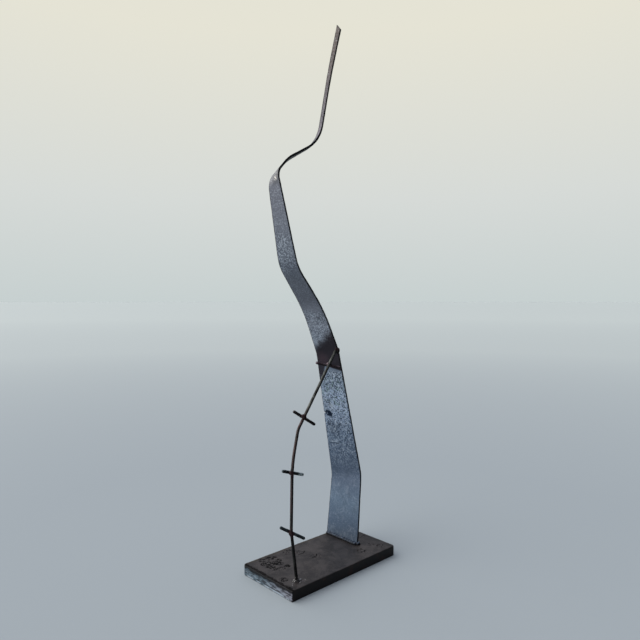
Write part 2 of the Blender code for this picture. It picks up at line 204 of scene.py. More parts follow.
class Graph(Nodes):
    """The node tree of one metal, with its Principled shader."""

    def __init__(self, name: str, metallic: float) -> None:
        """Starts a material.

        Args:
            name: The material's name.
            metallic: The metallic value, the same all over unless `finish` varies it.
        """
        self.material = bpy.data.materials.new(name)
        self.material.use_nodes = True
        super().__init__(self.material.node_tree)
        self.shader = self.tree.nodes["Principled BSDF"]
        self.shader.inputs["Metallic"].default_value = metallic
        self.place = Wire(self, self.add("ShaderNodeTexCoord").outputs["Object"])
        parts = self.add("ShaderNodeSeparateXYZ", sockets={0: self.place})
        self.x, self.y, self.z = (Wire(self, out) for out in parts.outputs)
        facing = self.add("ShaderNodeNewGeometry").outputs["Normal"]
        parts = self.add("ShaderNodeSeparateXYZ", sockets={0: Wire(self, facing)})
        self.facing_x, self.facing_y, self.facing_z = (Wire(self, out) for out in parts.outputs)
        self.edge = self.attribute("edge")

    def attribute(self, name: str) -> Wire:
        """A value that the mesh holds at each of its points."""
        return Wire(self, self.add("ShaderNodeAttribute", {"attribute_name": name}).outputs["Fac"])

    def stretched(self, along: Vector) -> Wire:
        """The place with each axis multiplied by a factor."""
        node = self.add("ShaderNodeVectorMath", {"operation": "MULTIPLY"}, {0: self.place, 1: tuple(along)})
        return Wire(self, node.outputs[0])

    def grain(self, size: float, detail: float = 3.0, place: Wire | None = None, twist: float = 0.0) -> Wire:
        """Cloudy noise, mostly from 0.3 to 0.7, with blotches about as wide as the size, bent by a twist."""
        sockets = {"Vector": place or self.place, "Scale": 1.0 / size, "Detail": detail, "Distortion": twist}
        return Wire(self, self.add("ShaderNodeTexNoise", sockets=sockets).outputs[0])

    def near(self, point: Vector, inner: float, outer: float) -> Wire:
        """Is 1 within the inner distance of a point and 0 beyond the outer one."""
        node = self.add("ShaderNodeVectorMath", {"operation": "DISTANCE"}, {0: self.place, 1: tuple(point)})
        return Wire(self, node.outputs["Value"]).step(outer, inner)

    def finish(
        self, colour: Wire, roughness: Wire, height: Wire, depth: float, metallic: Wire | None = None
    ) -> Material:
        """Feeds the shader.

        Args:
            colour: The base colour.
            roughness: The roughness.
            height: The relief, from 0 to 1.
            depth: The relief's real depth in metres.
            metallic: The metallic value, where it varies over the surface.

        Returns:
            The finished material.
        """
        bump = self.add("ShaderNodeBump", sockets={"Strength": 1.0, "Distance": depth, "Height": height})
        inputs = {"Base Color": colour, "Roughness": roughness, "Normal": Wire(self, bump.outputs[0])}
        if metallic is not None:
            inputs["Metallic"] = metallic
        for name, value in inputs.items():
            self.feed(self.shader.inputs[name], value)
        return self.material


def rough_noise(place: Vector, size: float, seed: float = 0.0) -> float:
    """Smooth noise from -1 to 1, with waves of a size in metres; the seed moves to another part of it."""
    return noise.noise(place / size + Vector((seed, seed, seed)))


def ease(value: float, low: float, high: float) -> float:
    """Rises smoothly from 0 at low to 1 at high."""
    share = min(1.0, max(0.0, (value - low) / (high - low)))
    return share * share * (3.0 - 2.0 * share)


def solid_points(node: str) -> list[Vector]:
    """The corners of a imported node's solid."""
    return [vert.co.copy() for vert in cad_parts[node].data.vertices]


def search_tree(points: list[Vector]) -> KDTree:
    """Makes a tree that finds the nearest of some points.

    Args:
        points: The points.

    Returns:
        The tree.
    """
    tree = KDTree(len(points))
    for number, point in enumerate(points):
        tree.insert(point, number)
    tree.balance()
    return tree


def add_piece(
    data: Mesh, material: Material, smooth_below: float
) -> Object:
    """Shades a mesh and adds it to the scene as a piece of the sculpture.

    Args:
        data: The mesh.
        material: The piece's material.
        smooth_below: Edges sharper than this many degrees stay sharp.

    Returns:
        The piece.
    """
    data.shade_smooth()
    data.set_sharp_from_angle(angle=math.radians(smooth_below))
    data.materials.append(material)
    piece = bpy.data.objects.new(data.name, data)
    bpy.context.scene.collection.objects.link(piece)
    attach(piece, BODY)
    return piece


class FineMesh:
    """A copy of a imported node's solid, cut into small cells, with rounded edges and surface relief."""

    WELD = 1.0e-6
    FLAT = 0.3
    SHARP = 50.0
    FACES_FAR = 0.7
    SMOOTH_BELOW = 42.0
    EDGE_REACH = 6.0 * MM
    ROUNDING_STEPS = 3

    def __init__(self, node: str, name: str, slot: Slot) -> None:
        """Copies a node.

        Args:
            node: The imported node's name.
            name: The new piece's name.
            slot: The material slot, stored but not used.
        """
        self.node = node
        self.name = name
        self.slot = slot
        self.mesh = bmesh.new()
        self.mesh.from_mesh(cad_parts[node].data)
        bmesh.ops.remove_doubles(self.mesh, verts=self.mesh.verts, dist=self.WELD)
        self.edge_points = {"edge": self._points_along(self._sharp_edges())}
        self.edge_points["far_edge"] = self._points_along(self._far_edges())
        limit = math.radians(self.FLAT)
        bmesh.ops.dissolve_limit(self.mesh, angle_limit=limit, verts=self.mesh.verts, edges=self.mesh.edges)

    def _sharp_edges(self) -> list[bmesh.types.BMEdge]:
        """Finds the edges where two faces meet at an outward angle.

        Returns:
            The edges.
        """
        limit = math.radians(self.SHARP)
        manifold = [edge for edge in self.mesh.edges if edge.is_manifold]
        return [edge for edge in manifold if edge.calc_face_angle_signed() > limit]

    def _far_edges(self) -> list[bmesh.types.BMEdge]:
        """The sharp edges that bound a face turned to the far side."""
        faces_far = {edge: max(face.normal.y for face in edge.link_faces) for edge in self._sharp_edges()}
        return [edge for edge, facing in faces_far.items() if facing > self.FACES_FAR]

    @staticmethod
    def _points_along(edges: list[bmesh.types.BMEdge]) -> list[Vector]:
        """Puts points a short way apart on every one of the edges.

        Args:
            edges: The edges.

        Returns:
            The points.
        """
        points = []
        for edge in edges:
            start, end = (vert.co for vert in edge.verts)
            count = max(1, math.ceil(edge.calc_length() / MM))
            points.extend(start.lerp(end, i / count) for i in range(count + 1))
        return points

    def round_edges(self, radius: float, above: float) -> None:
        """Rounds sharp edges.

        Args:
            radius: The rounding's radius.
            above: The level above which the whole of an edge has to lie.
        """
        chosen = [e for e in self._sharp_edges() if min(v.co.z for v in e.verts) > above]
        shape = {"segments": self.ROUNDING_STEPS, "profile": 0.5, "affect": "EDGES", "clamp_overlap": True}
        bmesh.ops.bevel(self.mesh, geom=chosen, offset=radius, **shape)

    def cut(self, sizes: Place) -> None:
        """Cuts the faces up so that no cell is larger than the given sizes along the three axes."""
        for axis, size in enumerate(sizes):
            self._cut_along(axis, size)

    def _cut_along(self, axis: int, size: float) -> None:
        """Cuts the faces by planes square to one axis, from its low end to its high end.

        Args:
            axis: The axis' number.
            size: The largest cell along it.
        """
        places = [vert.co[axis] for vert in self.mesh.verts]
        low, high = min(places), max(places)
        count = math.ceil((high - low) / size)
        across = Vector([1.0 if i == axis else 0.0 for i in range(3)])
        ahead = list(self.mesh.faces)
        for number in range(1, count):
            level = low + (high - low) * number / count
            edges = {edge for face in ahead for edge in face.edges}
            verts = {vert for face in ahead for vert in face.verts}
            plane = {"plane_co": across * level, "plane_no": across, "dist": self.WELD / 10.0}
            result = bmesh.ops.bisect_plane(self.mesh, geom=[*verts, *edges, *ahead], **plane)
            faces = [item for item in result["geom"] if isinstance(item, bmesh.types.BMFace)]
            ahead = [face for face in faces if face.calc_center_median()[axis] > level]

    def _distances(self, points: list[Vector]) -> list[float]:
        """Measures how far each point of the mesh is from the nearest of some points.

        Args:
            points: The points.

        Returns:
            The distances, none of them above the edge reach.
        """
        if not points:
            return [self.EDGE_REACH] * len(self.mesh.verts)
        tree = search_tree(points)
        return [min(tree.find(vert.co)[2], self.EDGE_REACH) for vert in self.mesh.verts]

    def finish(self, relief: Relief, material: Material) -> Object:
        """Moves the surface by its relief and makes the piece that stands for the node.

        Args:
            relief: Gives the outward move for a place, its outward direction and its edge distance.
            material: The piece's material.

        Returns:
            The piece.
        """
        distances = {name: self._distances(points) for name, points in self.edge_points.items()}
        self.mesh.normal_update()
        moves = [
            vert.normal * relief(vert.co, vert.normal, away)
            for vert, away in zip(self.mesh.verts, distances["edge"])
        ]
        for vert, move in zip(self.mesh.verts, moves):
            vert.co += move
        data = bpy.data.meshes.new(self.name)
        self.mesh.to_mesh(data)
        self.mesh.free()
        for name, values in distances.items():
            attribute = data.attributes.new(name, "FLOAT", "POINT")
            attribute.data.foreach_set("value", np.array(values, dtype=np.float32) / self.EDGE_REACH)
        piece = add_piece(data, material, self.SMOOTH_BELOW)
        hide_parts(self.node)
        return piece


@dataclass(frozen=True)
class PlateFinish:
    """Dark mill scale, with black blotches, a black strip along the top at the sawn end, a bright sawn end,
    painted shade on the side faces and a painted dark reflection on the top at the far end.

    Each spot has its X, its Y and its radius in millimetres.
    """

    scale_dark: Colour = tone(45, 41, 41)
    scale_light: Colour = tone(74, 68, 66)
    olive: Colour = tone(60, 50, 36)
    blotch: Colour = tone(5, 4, 4)
    black_strip: Colour = tone(8, 6, 7)
    sawn_blue: Colour = tone(94, 112, 124)
    sawn_mauve: Colour = tone(150, 151, 163)
    sawn_bright: Colour = tone(205, 218, 230)
    sawn_dull: Colour = tone(58, 58, 64)
    # Painted shade on the plate's side faces.
    side_shade: Colour = tone(15, 13, 14)
    side_rust: Colour = tone(46, 26, 19)
    strip_width: float = 7.0 * MM
    strip_waves: float = 9.0 * MM
    olive_strip: Span = (9.0 * MM, 3.0 * MM)
    # Reach of the painted dark reflection on the top at the far end.
    painted_reflection_end: Span = (34.0 * MM, 4.0 * MM)
    relief: float = 0.35 * MM
    blotch_spots: tuple[Place, ...] = (
        (-101.0, 57.0, 10.0), (-86.0, 55.0, 11.0), (-77.0, 51.0, 9.0),
        (-107.0, 42.0, 10.0), (-97.0, 38.0, 12.0), (-79.0, 38.0, 11.0),
        (-84.0, 27.0, 12.0), (-104.0, 27.0, 12.0), (-106.0, 14.0, 8.0),
        (-95.0, 7.0, 10.0), (-80.0, 8.0, 8.0), (-119.0, -28.0, 11.0),
    )
    fleck_spots: tuple[Place, ...] = (
        (-40.0, 52.0, 16.0), (-24.0, 34.0, 14.0), (-14.0, 2.0, 16.0),
        (104.0, -35.0, 10.0), (112.0, -52.0, 12.0), (118.0, 8.0, 13.0),
        (70.0, -40.0, 14.0),
    )

    def material(self, half_length: float, half_width: float, top: float) -> Material:
        """Builds the material.

        Args:
            half_length: Half the plate's length.
            half_width: Half its width.
            top: The level of its top.

        Returns:
            The material.
        """
        g = Graph("mill_scale_plate", 0.55)
        cloud = g.grain(26.0 * MM, 5.0)
        fine = g.grain(2.4 * MM, 4.0)
        patches = g.grain(11.0 * MM, 4.0, twist=0.5)
        shade = (cloud * 0.35 + patches * 0.3 + fine * 0.35).step(0.41, 0.59)
        colour = g.mix(shade, self.scale_dark, self.scale_light)
        olive_from, olive_full = (half_width - inset for inset in self.olive_strip)
        far_strip = g.y.step(olive_from, olive_full) * patches.step(0.30, 0.52)
        colour = g.mix(far_strip * 0.8, colour, self.olive)
        ragged = g.grain(4.4 * MM, 4.0, twist=1.2)
        blotches = self._spots(g, self.blotch_spots, top) * ragged.step(0.45, 0.50)
        flecks = self._spots(g, self.fleck_spots, top) * g.grain(4.0 * MM, 3.0).step(0.53, 0.58)
        pits = fine.step(0.64, 0.70) * 0.5
        stain = (blotches + flecks * 0.85 + pits).step(0.0, 1.0)
        colour = g.mix(stain * 0.95, colour, self.blotch)
        # A black strip along the top at the sawn end, with a wavy inner edge.
        wavy = g.x + (g.grain(6.0 * MM, 4.0) - 0.5) * self.strip_waves
        black_strip = wavy.step(self.strip_width * 1.1 - half_length, self.strip_width * 0.7 - half_length)
        black_strip = black_strip * g.facing_z.step(0.5, 0.8) * (1.0 - fine.step(0.56, 0.62) * 0.6)
        colour = g.mix(black_strip * 0.95, colour, self.black_strip)
        # Painted dark reflection: the top is darkened in patches towards its far (+X) end.
        reflection_from, reflection_full = (half_length - inset for inset in self.painted_reflection_end)
        painted_shade = g.x.step(reflection_from, reflection_full) * patches.step(0.32, 0.56)
        colour = g.mix(painted_shade * 0.75, colour, self.black_strip)
        # Painted shade: the plate's side faces are painted near black, with patches of rust over it; the sawn
        # end is coloured over this below.
        sides = g.facing_z.step(0.6, 0.3)
        rust = g.grain(18.0 * MM, 4.0).step(0.52, 0.68)
        colour = g.mix(sides, colour, g.mix(rust * 0.6, self.side_shade, self.side_rust))
        sawn = g.facing_x.step(-0.55, -0.8)
        colour = g.mix(sawn, colour, self._sawn(g, half_width, top))
        rubbed = g.edge.step(0.20, 0.0) * g.grain(5.0 * MM, 3.0).step(0.42, 0.62)
        worn = rubbed * (1.0 - sawn) * (1.0 - black_strip)
        colour = g.mix(worn * 0.35, colour, self.sawn_dull)
        roughness = 0.60 - cloud * 0.16 - sawn * 0.10 + stain * 0.22 + black_strip * 0.2 - worn * 0.1
        saw_lines = g.grain(1.2 * MM, 2.0, g.stretched(Vector((1.0, 1.0, 0.12))))
        height = fine * 0.35 + cloud * 0.35 - stain * 0.5 + black_strip * fine + saw_lines * sawn * 0.8
        metallic = 0.55 + (stain * g.facing_z.step(0.5, 0.8) + black_strip).step(0.0, 1.0) * 0.45
        return g.finish(colour, roughness, height, self.relief, metallic)

    def _sawn(self, g: Graph, half_width: float, top: float) -> Wire:
        """Colours the sawn end: blue to mauve along it, a bright lower line and a black ragged upper rim.

        Args:
            g: The plate's graph.
            half_width: Half the plate's width.
            top: The level of its top.

        Returns:
            The colour.
        """
        along = g.y.step(half_width * 0.3, -half_width * 0.9)
        base = g.mix(along, self.sawn_blue, self.sawn_mauve)
        streaks = g.grain(3.0 * MM, 2.0, g.stretched(Vector((1.0, 0.22, 1.0))))
        base = g.mix(streaks.step(0.47, 0.60) * 0.85, base, self.sawn_dull)
        lit = g.z.window(top * 0.34, top * 0.50, top * 0.12) * streaks.step(0.52, 0.40)
        base = g.mix(lit * 0.35, base, self.sawn_bright)
        bright = g.z.window(top * 0.07, top * 0.16, top * 0.06) * g.grain(14.0 * MM, 3.0).step(0.36, 0.56)
        base = g.mix(bright * 0.85, base, self.sawn_bright)
        base = g.mix(g.z.step(top * 0.05, top * 0.01) * 0.8, base, self.black_strip)
        rim_noise = g.grain(7.0 * MM, 4.0, g.stretched(Vector((1.0, 0.55, 1.0))))
        ragged = g.z + (rim_noise - 0.5) * (top * 0.6)
        return g.mix(ragged.step(top * 0.66, top * 0.80) * 0.95, base, self.black_strip)

    @staticmethod
    def _spots(g: Graph, spots: tuple[Place, ...], top: float) -> Wire:
        """Shows where the top is near one of the spots.

        Args:
            g: The plate's graph.
            spots: The spots.
            top: The level of the plate's top.

        Returns:
            The share, from 0 to 1.
        """
        total = None
        for spot_x, spot_y, spot_radius in spots:
            radius = spot_radius * MM
            spot = g.near(Vector((spot_x * MM, spot_y * MM, top)), radius * 0.45, radius)
            total = spot if total is None else total + spot
        return total.step(0.0, 0.8)


@dataclass
class BasePlate:
    """The heavy plate on which everything stands."""

    node: str = "base_plate"
    edge_round: float = 0.5 * MM
    cell: float = 2.5 * MM
    wear_reach: float = 3.0 * MM
    wear_depth: float = 0.55 * MM
    burr: float = 0.35 * MM
    sag: float = 0.12 * MM
    saw_marks: float = 0.10 * MM
    blotch_depth: float = 0.35 * MM
    finish: PlateFinish = PlateFinish()

    def build(self) -> Object:
        """Makes the plate.

        Returns:
            The piece.
        """
        self.low, self.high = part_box(self.node)
        mesh = FineMesh(self.node, "plate", Slot.PLATE)
        mesh.round_edges(self.edge_round, -1.0)
        mesh.cut((self.cell, self.cell, self.cell))
        material = self.finish.material(self.high.x, self.high.y, self.high.z)
        return mesh.finish(self._relief, material)

    def _relief(self, place: Vector, facing: Vector, edge: float) -> float:
        """The outward move of the plate's surface.

        Args:
            place: The place on the surface.
            facing: The outward direction there.
            edge: The distance to the nearest sharp edge.

        Returns:
            The move in metres.
        """
        if place.z < self.low.z + MM:
            return 0.0
        move = self.sag * rough_noise(place, 30.0 * MM)
        near_edge = 1.0 - ease(edge, 0.0, self.wear_reach)
        uneven = rough_noise(place, 22.0 * MM, 5.0) + 0.5 * rough_noise(place, 6.0 * MM, 9.0)
        wear = ease(uneven, -0.1, 0.8)
        at_sawn_end = place.x < self.low.x + 2.0 * MM
        move -= self.wear_depth * near_edge * wear * (0.4 if at_sawn_end else 1.0)
        if facing.x < -0.8:
            move += self.saw_marks * rough_noise(Vector((0.0, place.y * 8.0, place.z)), 12.0 * MM, 3.0)
        if facing.z > 0.8 and at_sawn_end:
            move += self.burr * ease(rough_noise(place, 5.0 * MM, 7.0), -0.3, 0.6)
        for x, y, spot_radius in self.finish.blotch_spots:
            radius = spot_radius * MM
            away = (place - Vector((x * MM, y * MM, self.high.z))).length
            inside = 1.0 - ease(away, radius * 0.5, radius)
            move -= self.blotch_depth * inside * ease(rough_noise(place, 9.0 * MM, 2.0), 0.05, 0.4)
        return move


@dataclass(frozen=True)
class StrapFinish:
    """Blue-grey scaled steel, speckled, with a dark heat stain and a burnt nick; its colour by height holds
    painted light and shade, paler at the bends, and its narrow faces, rims and the back of the run carry
    painted shade.
    """

    low: float = 19.3 * MM
    high: float = 1023.6 * MM
    # Painted shade on the narrow faces and the back of the run.
    edge_shade: Colour = tone(24, 24, 26)
    # Painted shade along the rims.
    rim_shade: Colour = tone(30, 32, 36)
    heat: Colour = tone(40, 33, 40)
    heat_brown: Colour = tone(66, 50, 58)
    burn: Colour = tone(23, 38, 59)
    pale: Colour = tone(206, 216, 228)
    deep: Colour = tone(44, 54, 68)
    glint: Colour = tone(240, 238, 232)
    mint: Colour = tone(132, 158, 152)
    weld: Colour = tone(34, 36, 42)
    # Colours by height along the strap: its blue-grey patina with painted light and shade taken in; the dark
    # stops at 0.747 and 0.784 m are painted shade on the run.
    bands: tuple[tuple[float, Colour], ...] = (
        (0.000, tone(90, 104, 122)), (0.050, tone(90, 107, 129)), (0.098, tone(108, 127, 148)),
        (0.136, tone(96, 110, 131)), (0.245, tone(122, 140, 164)), (0.312, tone(183, 200, 226)),
        (0.362, tone(127, 142, 161)), (0.465, tone(159, 163, 174)), (0.508, tone(114, 117, 127)),
        (0.545, tone(112, 116, 125)), (0.595, tone(120, 127, 139)), (0.710, tone(127, 129, 140)),
        (0.732, tone(116, 116, 118)), (0.747, tone(44, 44, 39)), (0.784, tone(46, 45, 43)),
        (0.815, tone(112, 108, 115)), (0.960, tone(94, 87, 84)),
    )
    relief: float = 0.3 * MM
    speckle_starts: Span = (150.0 * MM, 215.0 * MM)
    speckle_full: Span = (228.0 * MM, 262.0 * MM)
    speckle_ends: Span = (372.0 * MM, 366.0 * MM)
    speckle_finer: Span = (400.0 * MM, 440.0 * MM)
    middle_speckle: Span = (438.0 * MM, 474.0 * MM)
    upper_speckle: Span = (580.0 * MM, 615.0 * MM)
    upper_haze: Span = (560.0 * MM, 715.0 * MM)
    mint_band: Span = (0.295, 0.350)
    dotted_line: Span = (222.8 * MM, 224.4 * MM)
    dark_line: Span = (219.4 * MM, 220.8 * MM)
    line_width: Span = (26.0 * MM, 50.0 * MM)
    run_levels: Span = (0.735, 0.800)
    stain_foot: Span = (374.0 * MM, 377.5 * MM)
    stain_top: Span = (454.0 * MM, 424.0 * MM)
    stain_corner: Span = (205.0 * MM, 211.0 * MM)
    corner_starts: Span = (322.0 * MM, 368.0 * MM)
    corner_ends: Span = (400.0 * MM, 390.0 * MM)
    above_burn: Place = (0.0525, 0.026, 0.2945)
    streak: Place = (0.0135, 0.0255, 0.4275)
    brown_patch: Place = (0.022, 0.024, 0.392)
    bend_glint: Place = (-0.1248, -0.0155, 0.7255)
    burn_spot: Place = (0.0555, 0.041, 0.2805)
    burn_core: Place = (0.0562, 0.0335, 0.2790)
    burn_soot: Place = (0.0600, 0.042, 0.252)

    def material(self) -> Material:
        """Builds the material.

        Returns:
            The material.
        """
        g = Graph("blue_grey_strap", 0.85)
        cloud = g.grain(30.0 * MM, 4.0)
        level = (g.z + (cloud - 0.5) * (24.0 * MM) - self.low) * (1.0 / (self.high - self.low))
        stops = [(max(0.0, (z - self.low) / (self.high - self.low)), colour) for z, colour in self.bands]
        colour = g.ramp(level, stops)
        blotch = g.grain(8.0 * MM, 4.0)
        speck = g.grain(2.6 * MM, 2.0)
        curl = g.grain(4.6 * MM, 2.0, twist=1.4)
        finer = g.z.step(*self.speckle_finer)
        mottle = speck * (0.45 + finer * 0.3) + curl * (0.55 - finer * 0.3)
        amount = self._amount(g)
        patch = 0.42 + g.grain(17.0 * MM, 3.0, twist=0.6).step(0.38, 0.60) * 0.58
        light = mottle.step(0.520, 0.565) * amount * patch
        dark = mottle.step(0.490, 0.440) * amount * (1.0 - finer * 0.45)
        minty = g.z.window(*self.mint_band, 15.0 * MM)
        colour = g.mix(blotch.step(0.48, 0.64) * minty * 0.55, colour, self.mint)
        colour = g.mix(light * 0.86, colour, self.pale)
        colour = g.mix(dark * 0.88, colour, self.deep)
        colour = g.mix(cloud.step(0.48, 0.68) * 0.2, colour, self.deep)
        smears = g.grain(13.0 * MM, 5.0, twist=0.8).step(0.52, 0.68)
        colour = g.mix(smears * g.z.step(0.235, 0.150) * 0.09, colour, self.pale)
        above_burn = g.near(Vector(self.above_burn), 3.0 * MM, 15.0 * MM)
        streak = g.near(Vector(self.streak), 3.0 * MM, 17.0 * MM)
        colour = g.mix((above_burn * 0.42 + streak * 0.38) * blotch.step(0.34, 0.56), colour, self.pale)
        heat = self._heat(g)
        brown = g.near(Vector(self.brown_patch), 4.0 * MM, 22.0 * MM)
        stained = g.mix(brown * 0.8, self.heat, self.heat_brown)
        colour = g.mix(heat * 0.95, colour, stained)
        burn = self._burn(g, blotch)
        colour = g.mix(burn, colour, self.burn)
        dots = g.grain(2.2 * MM, 1.0).step(0.48, 0.54)
        line = g.z - g.y * (-0.12)
        across = g.y.window(*self.line_width, 3.0 * MM)
        colour = g.mix(line.window(*self.dotted_line, 0.8 * MM) * across * dots * 0.7, colour, self.pale)
        colour = g.mix(line.window(*self.dark_line, 0.8 * MM) * across * 0.5, colour, self.deep)
        glints = g.near(Vector(self.bend_glint), 2.0 * MM, 6.0 * MM)
        colour = g.mix(glints * speck.step(0.47, 0.53), colour, self.glint)
        colour = self._borders(g, colour)
        roughness = 0.46 + cloud * 0.1 + heat * 0.14 - light * 0.08 + burn * 0.2
        height = mottle * amount * 0.75 + blotch * 0.25 + cloud * 0.3 - burn * 0.4
        return g.finish(colour, roughness, height, self.relief)

    def _amount(self, g: Graph) -> Wire:
        """Works out how strong the speckle is along the strap.

        Args:
            g: The strap's graph.

        Returns:
            The strength, from 0 to 1.
        """
        rise = g.z.step(*self.speckle_starts) * 0.4 + g.z.step(*self.speckle_full) * 0.6
        lower = rise * g.z.step(*self.speckle_ends)
        middle = g.z.window(*self.middle_speckle, 24.0 * MM)
        haze = g.z.window(*self.upper_haze, 20.0 * MM)
        upper = g.z.window(*self.upper_speckle, 25.0 * MM) * 0.26 + haze * 0.10
        return (lower + middle * 0.75 + upper + 0.26 + g.z.step(0.12, 0.17) * 0.08).step(0.0, 1.25)

    def _borders(self, g: Graph, colour: Wire) -> Wire:
        """Paints shade on the narrow faces, the far edge's rim, the sharp edges and the back of the run, and
        darkens the weld at the foot.

        Args:
            g: The strap's graph.
            colour: The colour so far.

        Returns:
            The colour.
        """
        # Painted shade: the narrow faces and the rims along the edges are painted dark.
        narrow_face_shade = g.facing_y.step(-0.6, -0.85) + g.facing_y.step(0.6, 0.85)
        far = g.attribute("far_edge")
        rim_shade = far.step(0.30, 0.10) * (0.45 + g.z.step(0.30, 0.42) * 0.5)
        near_rim_shade = g.edge.step(0.22, 0.05) * 0.5
        colour = g.mix((rim_shade + near_rim_shade).step(0.0, 1.0), colour, self.rim_shade)
        colour = g.mix(narrow_face_shade * 0.9, colour, self.edge_shade)
        # Painted shade on the back of the run.
        run_back_shade = g.facing_x.step(0.2, 0.6) * g.z.window(*self.run_levels, 10.0 * MM)
        colour = g.mix(run_back_shade * 0.9, colour, self.edge_shade)
        ragged = g.z + (g.grain(5.0 * MM, 3.0) - 0.5) * (4.0 * MM)
        foot = ragged.step(self.low + 6.0 * MM, self.low + 3.0 * MM)
        return g.mix(foot * 0.9, colour, self.weld)

    def _heat(self, g: Graph) -> Wire:
        """Lays out the heat stain: a band above the topmost pin, soft at its top, and a corner below it.

        Args:
            g: The strap's graph.

        Returns:
            The stain's strength.
        """
        cloud = (g.grain(16.0 * MM, 3.0) - 0.5) * (15.0 * MM)
        foot = g.z - g.y * 0.18
        top = g.z + g.y * 0.62 + cloud
        band = foot.step(*self.stain_foot) * top.step(*self.stain_top)
        corner = (g.y + g.z * 0.49).step(*self.stain_corner) * g.z.step(*self.corner_starts)
        return (band + corner * g.z.step(*self.corner_ends) * 0.88).step(0.0, 1.0)

    def _burn(self, g: Graph, blotch: Wire) -> Wire:
        """Lays out the burnt spot that runs in from the nick, and the sooty patch below it.

        Args:
            g: The strap's graph.
            blotch: The noise that breaks the soot up.

        Returns:
            The burn's strength.
        """
        spot = g.near(Vector(self.burn_spot), 4.0 * MM, 12.0 * MM)
        core = g.near(Vector(self.burn_core), 3.0 * MM, 8.5 * MM)
        blackening = g.near(Vector(self.burn_soot), 6.0 * MM, 26.0 * MM) * blotch.step(0.5, 0.36)
        ragged = (g.grain(4.0 * MM, 4.0, twist=0.5) - 0.5) * 1.1
        torn = (spot * 0.62 + core * 0.8 + ragged * (spot + core).step(0.0, 0.4)).step(0.30, 0.78)
        return (torn * 0.72 + spot * 0.24 + core * 0.25 + blackening * 0.5).step(0.0, 1.05)


@dataclass
class Strap:
    """The tapered flat bar, bent up to a slanting spike."""

    node: str = "strap"
    edge_round: float = 0.3 * MM
    cell: float = 2.2 * MM
    weld_zone: float = 14.0 * MM
    unmoved: float = 0.05 * MM
    waves: float = 0.14 * MM
    ripples: float = 0.05 * MM
    edge_wear: float = 0.18 * MM
    weld_lumps: float = 0.35 * MM
    finish: StrapFinish = StrapFinish()

    def build(self) -> Object:
        """Makes the strap.

        Returns:
            The piece.
        """
        self.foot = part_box(self.node)[0].z
        mesh = FineMesh(self.node, "strap_bar", Slot.STRAP)
        mesh.round_edges(self.edge_round, self.foot + self.weld_zone)
        mesh.cut((self.cell * 2.0, self.cell, self.cell))
        return mesh.finish(self._relief, self.finish.material())

    def _relief(self, place: Vector, facing: Vector, edge: float) -> float:
        """The outward move of the strap's surface.

        Args:
            place: The place on the surface.
            facing: The outward direction there.
            edge: The distance to the nearest sharp edge.

        Returns:
            The move in metres.
        """
        if place.z < self.foot + self.unmoved:
            return 0.0
        weld = 1.0 - ease(place.z - self.foot, 6.0 * MM, self.weld_zone)
        move = self.waves * rough_noise(place, 24.0 * MM) + self.ripples * rough_noise(place, 7.0 * MM, 4.0)
        patchy = ease(rough_noise(place, 9.0 * MM, 6.0), 0.0, 0.5)
        move -= self.edge_wear * (1.0 - ease(edge, 0.0, 2.0 * MM)) * patchy
        return move + weld * self.weld_lumps * rough_noise(place, 3.5 * MM, 8.0)


